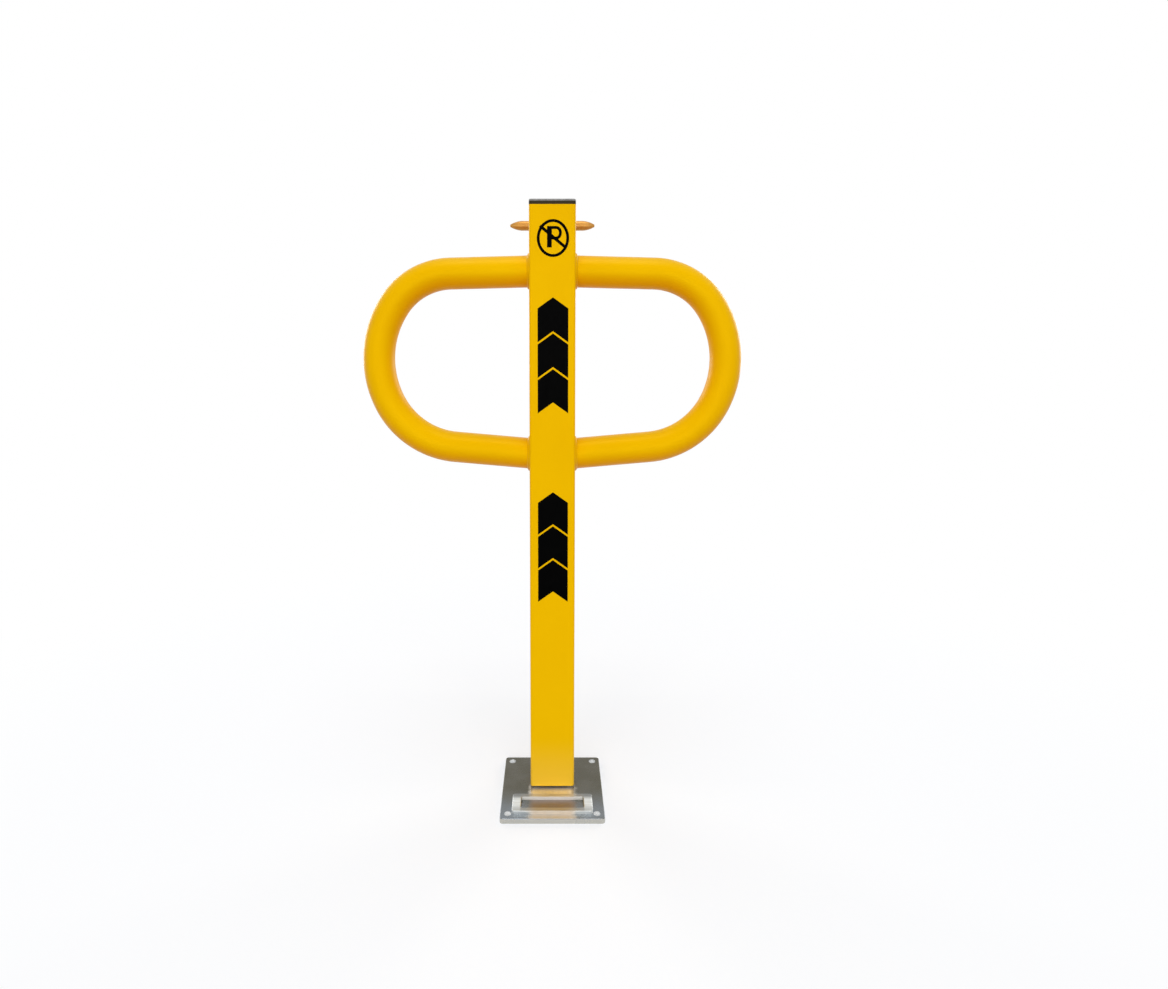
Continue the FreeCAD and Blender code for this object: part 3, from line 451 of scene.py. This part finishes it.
# Weld seam of the keeper
# One ring of weld holds the bush where it stands on the plate. It is rippled by the steps of
# the welder's hand, as the seams of the lugs are.
KEEPER_SEAM_STEPS = 120
KEEPER_SEAM_STAND = 0.0002
KEEPER_SEAM_RADIUS = 0.0018
RIPPLE_SWELL = 0.00035


def only_select(mesh, wanted):
    """Selects the points of a mesh that a test picks, in object mode."""
    for part in (mesh.polygons, mesh.edges, mesh.vertices):
        part.foreach_set("select", [False] * len(part))
    for vertex in mesh.vertices:
        vertex.select = wanted(vertex.co)


def ripple(ring, steps, every):
    """Swells every few rings of a torus, as the drops of a weld seam do."""
    def wanted(place):
        step = round(math.degrees(math.atan2(place.y, place.x)) / (360 / steps))
        return step % every == 0
    only_select(ring.data, wanted)
    bpy.ops.object.mode_set(mode="EDIT")
    bpy.ops.transform.shrink_fatten(value=RIPPLE_SWELL)
    bpy.ops.object.mode_set(mode="OBJECT")
    smooth = ring.modifiers.new("smooth", "SUBSURF")
    smooth.levels = 1
    smooth.render_levels = 1
    apply_modifiers(ring)
    bpy.ops.object.shade_smooth()


keeper_low, keeper_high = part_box("keeper_bush")
keeper_middle = (keeper_low + keeper_high) / 2
keeper_radius = (keeper_high.x - keeper_low.x) / 2
bpy.ops.object.select_all(action="DESELECT")
bpy.ops.mesh.primitive_torus_add(
    location=(keeper_middle.x, keeper_middle.y, keeper_low.z + KEEPER_SEAM_STAND),
    major_radius=keeper_radius + KEEPER_SEAM_STAND, minor_radius=KEEPER_SEAM_RADIUS,
    major_segments=KEEPER_SEAM_STEPS, minor_segments=10)
keeper_seam = bpy.context.object
ripple(keeper_seam, KEEPER_SEAM_STEPS, every=4)
settle(keeper_seam, "keeper_seam", seam_metal, "base")

# Post
# Square steel tube, powder coated yellow after welding. The coat has a fine orange peel. Painted
# shade makes it a deeper orange on faces that look down and on the sides of the hoops, and
# painted light makes it paler towards the foot.
paint, tree, shader = new_finish("yellow_powder_coat", 0.36, shine=0.2)
shader.inputs["Specular Tint"].default_value = (1, 0.74, 0.03, 1)
wander = spread(tree, cloud(tree, 7, 2), 0.3, 0.7)
yellow = tinted(tree, wander, (0.83, 0.462, 0.0), (0.862, 0.492, 0.0))
# Painted shade: faces that look down are a deeper orange.
underside_painted_shade = spread(tree, facing(tree, "Z"), -0.8, 0.0, 1.0, 0.0)
yellow = tinted(tree, underside_painted_shade, yellow, (0.74, 0.325, 0.0))
# Painted shade: the sides of the hoops, away from the post, are a deeper orange.
off_post = spread(tree, from_line(tree, "X", 0), 0.04, 0.12)
sideways = spread(tree, combine(tree, "ABSOLUTE", facing(tree, "X")), 0.45, 1.0, 0.0, 0.55)
hoop_side_painted_shade = combine(tree, "MULTIPLY", off_post, sideways)
yellow = tinted(tree, hoop_side_painted_shade, yellow, (0.8, 0.35, 0.0))

height = axis_place(tree, "Z")
# Painted light: the coat is paler towards the foot, and palest just above the plate.
painted_foot_light = spread(tree, height, 0.1, 0.6, 0.7, 0.0)
yellow = tinted(tree, painted_foot_light, yellow, (0.9, 0.53, 0.0))
lowest_painted_light = spread(tree, height, 0.01, 0.1, 0.8, 0.0)
yellow = tinted(tree, lowest_painted_light, yellow, (0.92, 0.565, 0.045))
dust = spread(tree, cloud(tree, 340, 5), 0.62, 0.8, 0.0, 0.2)
yellow = tinted(tree, dust, yellow, (0.76, 0.4, 0.004))

tree.links.new(yellow, shader.inputs["Base Color"])
tree.links.new(spread(tree, cloud(tree, 55, 3), 0.3, 0.7, 0.3, 0.4), shader.inputs["Roughness"])
relief(tree, shader, cloud(tree, 620, 2), depth=0.00005, strength=0.4)
dress(paint, "post_tube")

# Hinge pin, sleeves and rod guides
# Turned and sawn steel, thinly zinc plated. The pin goes through the post's walls, and the
# guides are fixed inside the post.
plated, tree, shader = new_finish("plated_steel", 0.3, metal=1.0)
turned = cloud(tree, 420, 2, (1, 1, 0.08))
steel_colour = tinted(tree, turned, (0.46, 0.465, 0.47), (0.64, 0.645, 0.65))
tree.links.new(steel_colour, shader.inputs["Base Color"])
relief(tree, shader, turned, depth=0.00005, strength=0.5)
dress(plated, "hinge_pin", "hinge_sleeve_left", "hinge_sleeve_middle", "hinge_sleeve_right",
      "rod_guide_lower", "rod_guide_upper")

# Hoops
# One round steel tube on each side, bent three times and welded to the post at both ends. They
# are under the same coat of paint as the post.
dress(paint, "hoop_left", "hoop_right")

# Weld seams of the hoops
# A rippled ring of weld runs round each end of the tubes and joins it to the post. The paint
# covers it.
HOOP_SEAM_STEPS = 144
HOOP_SEAM_STAND = 0.0003
HOOP_SEAM_REACH = 0.0245
HOOP_SEAM_RADIUS = 0.003
HOOP_TOP_END = 0.8313
HOOP_BOTTOM_END = 0.5485
post_low, post_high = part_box("post_tube")
post_middle = (post_low + post_high) / 2
bpy.ops.object.select_all(action="DESELECT")
bpy.ops.mesh.primitive_torus_add(major_radius=HOOP_SEAM_REACH, minor_radius=HOOP_SEAM_RADIUS,
                                 major_segments=HOOP_SEAM_STEPS, minor_segments=12)
hoop_seam = bpy.context.object
ripple(hoop_seam, HOOP_SEAM_STEPS, every=3)
hoop_seam.rotation_euler = (0, math.radians(90), 0)
for side, x in (("left", post_low.x - HOOP_SEAM_STAND), ("right", post_high.x + HOOP_SEAM_STAND)):
    for end, z in (("top", HOOP_TOP_END), ("bottom", HOOP_BOTTOM_END)):
        seam = copy_of(hoop_seam)
        seam.location = (x, post_middle.y, z)
        settle(seam, f"hoop_seam_{side}_{end}", paint, "post")
bpy.data.objects.remove(hoop_seam)

# Lock rod, yoke and crank
# Bright drawn bar with the slotted yoke pinned to its head, and the crank that drives it. They
# and the small steel parts of the lock have the same thin zinc as the hinge pin.
dress(plated, "lock_rod", "rod_yoke", "yoke_pin", "crank", "crank_screw", "plug_cam",
      "housing_nut", "handle_washer")

# Lock housing and key plug
# Flange and lock cylinder, both turned from brass and satin nickel plated. The housing goes
# through the back of the post, and the plug turns inside the handle.
nickel, tree, shader = new_finish("satin_nickel", 0.28, metal=1.0)
brushed = cloud(tree, 500, 2, (1, 0.1, 1))
nickel_colour = tinted(tree, brushed, (0.62, 0.61, 0.58), (0.76, 0.75, 0.72))
tree.links.new(nickel_colour, shader.inputs["Base Color"])
relief(tree, shader, brushed, depth=0.00004, strength=0.4)
dress(nickel, "lock_housing", "key_plug")

# T-handle
# One brass casting, polished by hand, with a shank that goes through the lock housing. It is a
# little redder in the hollows of its surface.
brass, tree, shader = new_finish("polished_brass", 0.46, metal=1.0)
hollows = spread(tree, cloud(tree, 30, 3), 0.35, 0.65)
brass_colour = tinted(tree, hollows, (0.5, 0.25, 0.06), (0.56, 0.295, 0.08))
tree.links.new(brass_colour, shader.inputs["Base Color"])
tree.links.new(spread(tree, cloud(tree, 90, 3), 0.3, 0.7, 0.46, 0.53), shader.inputs["Roughness"])
relief(tree, shader, cloud(tree, 520, 3), depth=0.00004, strength=0.25)
dress(brass, "t_handle")

# Top cap
# Black moulded plastic plug, pressed into the tube. It has the fine grain of its mould, and a
# painted highlight runs pale along its top edge.
HIGHLIGHT_FROM = 0.0036
HIGHLIGHT_FULLY = 0.0024
cap_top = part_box("top_cap")[1].z
moulded, tree, shader = new_finish("moulded_black", 0.36, shine=0.08)
grain = cloud(tree, 1400, 3)
black = tinted(tree, grain, (0.024, 0.018, 0.006), (0.038, 0.029, 0.01))
# Painted highlight: a pale band along the cap's top edge, broken in places.
near_top = spread(tree, axis_place(tree, "Z"), cap_top - HIGHLIGHT_FROM, cap_top - HIGHLIGHT_FULLY)
not_level = spread(tree, facing(tree, "Z"), 0.88, 0.99, 1.0, 0.0)
highlight_breaks = spread(tree, cloud(tree, 130, 5, (1, 1, 0.4)), 0.3, 0.6, 0.72, 1.0)
edge_painted_highlight = combine(tree, "MULTIPLY", combine(tree, "MULTIPLY", near_top, not_level), highlight_breaks)
tree.links.new(tinted(tree, edge_painted_highlight, black, (0.3, 0.3, 0.3)), shader.inputs["Base Color"])
relief(tree, shader, grain, depth=0.00006, strength=0.5)
dress(moulded, "top_cap")

# Chevrons
# Two groups of three arrowheads in black vinyl, cut and stuck to the front of the post. They
# point up, with a thin line of the yellow between them.
FILM = 0.00015
FILM_SUNK = 0.00002
CHEVRON_WIDTH = 0.0462
CHEVRON_HEIGHT = 0.0503
CHEVRON_POINT = 0.0166
CHEVRON_STEP = 0.0537
UPPER_GROUP_TOP = 0.7897
LOWER_GROUP_TOP = 0.4933
MARKS_MIDDLE = 0.0009
MARKS_FACE = post_low.y + FILM_SUNK
vinyl, tree, shader = new_finish("black_vinyl", 0.4, shine=0.01)
vinyl_black = tinted(tree, cloud(tree, 90, 4), (0.0004, 0.0004, 0.0004), (0.0014, 0.0014, 0.0014))
tree.links.new(vinyl_black, shader.inputs["Base Color"])
vinyl_rough = spread(tree, cloud(tree, 160, 3), 0.3, 0.7, 0.34, 0.46)
tree.links.new(vinyl_rough, shader.inputs["Roughness"])
relief(tree, shader, cloud(tree, 420, 2), depth=0.00003, strength=0.4)


def straight_bar(middle, width, height):
    """Flat upright bar with a line of points down its middle, facing the front."""
    bpy.ops.object.select_all(action="DESELECT")
    bpy.ops.mesh.primitive_grid_add(x_subdivisions=2, y_subdivisions=1, size=1, location=middle,
                                    rotation=(math.radians(90), 0, 0))
    bar = bpy.context.object
    bpy.ops.object.mode_set(mode="EDIT")
    bpy.ops.transform.resize(value=(width, 1, height))
    bpy.ops.object.mode_set(mode="OBJECT")
    return bar


def make_film(piece):
    """Turns a flat cutting's faces to the front and gives it its thickness that way."""
    pick(piece)
    bpy.ops.object.mode_set(mode="EDIT")
    bpy.ops.mesh.select_all(action="SELECT")
    bpy.ops.mesh.normals_make_consistent(inside=False)
    bpy.ops.object.mode_set(mode="OBJECT")
    if piece.data.polygons[0].normal.z < 0:
        bpy.ops.object.mode_set(mode="EDIT")
        bpy.ops.mesh.flip_normals()
        bpy.ops.object.mode_set(mode="OBJECT")
    film = piece.modifiers.new("film", "SOLIDIFY")
    film.thickness = FILM
    film.offset = 1
    apply_modifiers(piece)


arrowhead = straight_bar((0, 0, 0), CHEVRON_WIDTH, CHEVRON_HEIGHT)
only_select(arrowhead.data, lambda place: abs(place.x) < CHEVRON_WIDTH / 4)
bpy.ops.object.mode_set(mode="EDIT")
bpy.ops.transform.translate(value=(0, 0, CHEVRON_POINT))
bpy.ops.object.mode_set(mode="OBJECT")
make_film(arrowhead)
for group, top in (("upper", UPPER_GROUP_TOP), ("lower", LOWER_GROUP_TOP)):
    for place in range(3):
        chevron = copy_of(arrowhead)
        z = top - CHEVRON_POINT - CHEVRON_HEIGHT / 2 - place * CHEVRON_STEP
        chevron.location = (MARKS_MIDDLE, MARKS_FACE, z)
        settle(chevron, f"chevron_{group}_{place + 1}", vinyl, "post")
bpy.data.objects.remove(arrowhead)

# No-parking sign
# Upright oval sticker of the same black vinyl: a ring, a P and a slash across it, cut as one
# piece and stuck above the chevrons.
SIGN_MIDDLE = Vector((MARKS_MIDDLE, MARKS_FACE, 0.8763))
SIGN_WIDTH = 0.048
SIGN_HEIGHT = 0.055
RING_STROKE = 0.0042
SLASH_FROM = Vector((-0.0183, MARKS_FACE, 0.8941))
SLASH_TO = Vector((0.0194, MARKS_FACE, 0.8629))
SLASH_STROKE = 0.0044
LETTER_LEFT = -0.0079
LETTER_RIGHT = 0.0141
LETTER_TOP = 0.8938
LETTER_FOOT = 0.8627
LETTER_STROKE = 0.0043
STEM_WIDTH = 0.0071
BOWL_HEIGHT = 0.0196
BOWL_ROUND = 0.0085
TOUCHING = 0.00002


def oval_ring(middle, width, height, stroke):
    """Flat upright ring of even stroke, facing the front."""
    bpy.ops.object.select_all(action="DESELECT")
    bpy.ops.mesh.primitive_circle_add(vertices=96, radius=0.5, fill_type="NGON", location=middle,
                                      rotation=(math.radians(90), 0, 0))
    ring = bpy.context.object
    bpy.ops.object.mode_set(mode="EDIT")
    bpy.ops.mesh.select_all(action="SELECT")
    bpy.ops.transform.resize(value=(width, 1, height))
    bpy.ops.mesh.inset(thickness=stroke, depth=0)
    bpy.ops.mesh.delete(type="FACE")
    bpy.ops.object.mode_set(mode="OBJECT")
    return ring


sign = oval_ring(SIGN_MIDDLE, SIGN_WIDTH, SIGN_HEIGHT, RING_STROKE)
make_film(sign)

slash_run = SLASH_TO - SLASH_FROM
slash = straight_bar((SLASH_FROM + SLASH_TO) / 2, slash_run.length, SLASH_STROKE)
slash.rotation_euler = (math.radians(90), math.atan2(-slash_run.z, slash_run.x), 0)
make_film(slash)

stem_middle = Vector((LETTER_LEFT + STEM_WIDTH / 2, MARKS_FACE, (LETTER_TOP + LETTER_FOOT) / 2))
stem = straight_bar(stem_middle, STEM_WIDTH, LETTER_TOP - LETTER_FOOT)
make_film(stem)

bowl_middle = Vector((LETTER_RIGHT - BOWL_ROUND, MARKS_FACE, LETTER_TOP - BOWL_HEIGHT / 2))
bowl = oval_ring(bowl_middle, BOWL_ROUND * 2, BOWL_HEIGHT, LETTER_STROKE)
only_select(bowl.data, lambda place: place.x < -TOUCHING)
bpy.ops.object.mode_set(mode="EDIT")
bpy.ops.mesh.delete(type="VERT")
bpy.ops.object.mode_set(mode="OBJECT")
only_select(bowl.data, lambda place: place.x < TOUCHING)
bowl_run = bowl_middle.x - stem_middle.x
bpy.ops.object.mode_set(mode="EDIT")
bpy.ops.mesh.extrude_region_move(TRANSFORM_OT_translate={"value": (-bowl_run, 0, 0)})
bpy.ops.object.mode_set(mode="OBJECT")
make_film(bowl)

for cutting in (slash, stem, bowl):
    joined = sign.modifiers.new("joined", "BOOLEAN")
    joined.operation = "UNION"
    joined.solver = "EXACT"
    joined.object = cutting
    apply_modifiers(sign)
    bpy.data.objects.remove(cutting)
pick(sign)
bpy.ops.object.mode_set(mode="EDIT")
bpy.ops.mesh.select_all(action="SELECT")
bpy.ops.mesh.remove_doubles(threshold=TOUCHING)
bpy.ops.object.mode_set(mode="OBJECT")
settle(sign, "no_parking_sign", vinyl, "post")
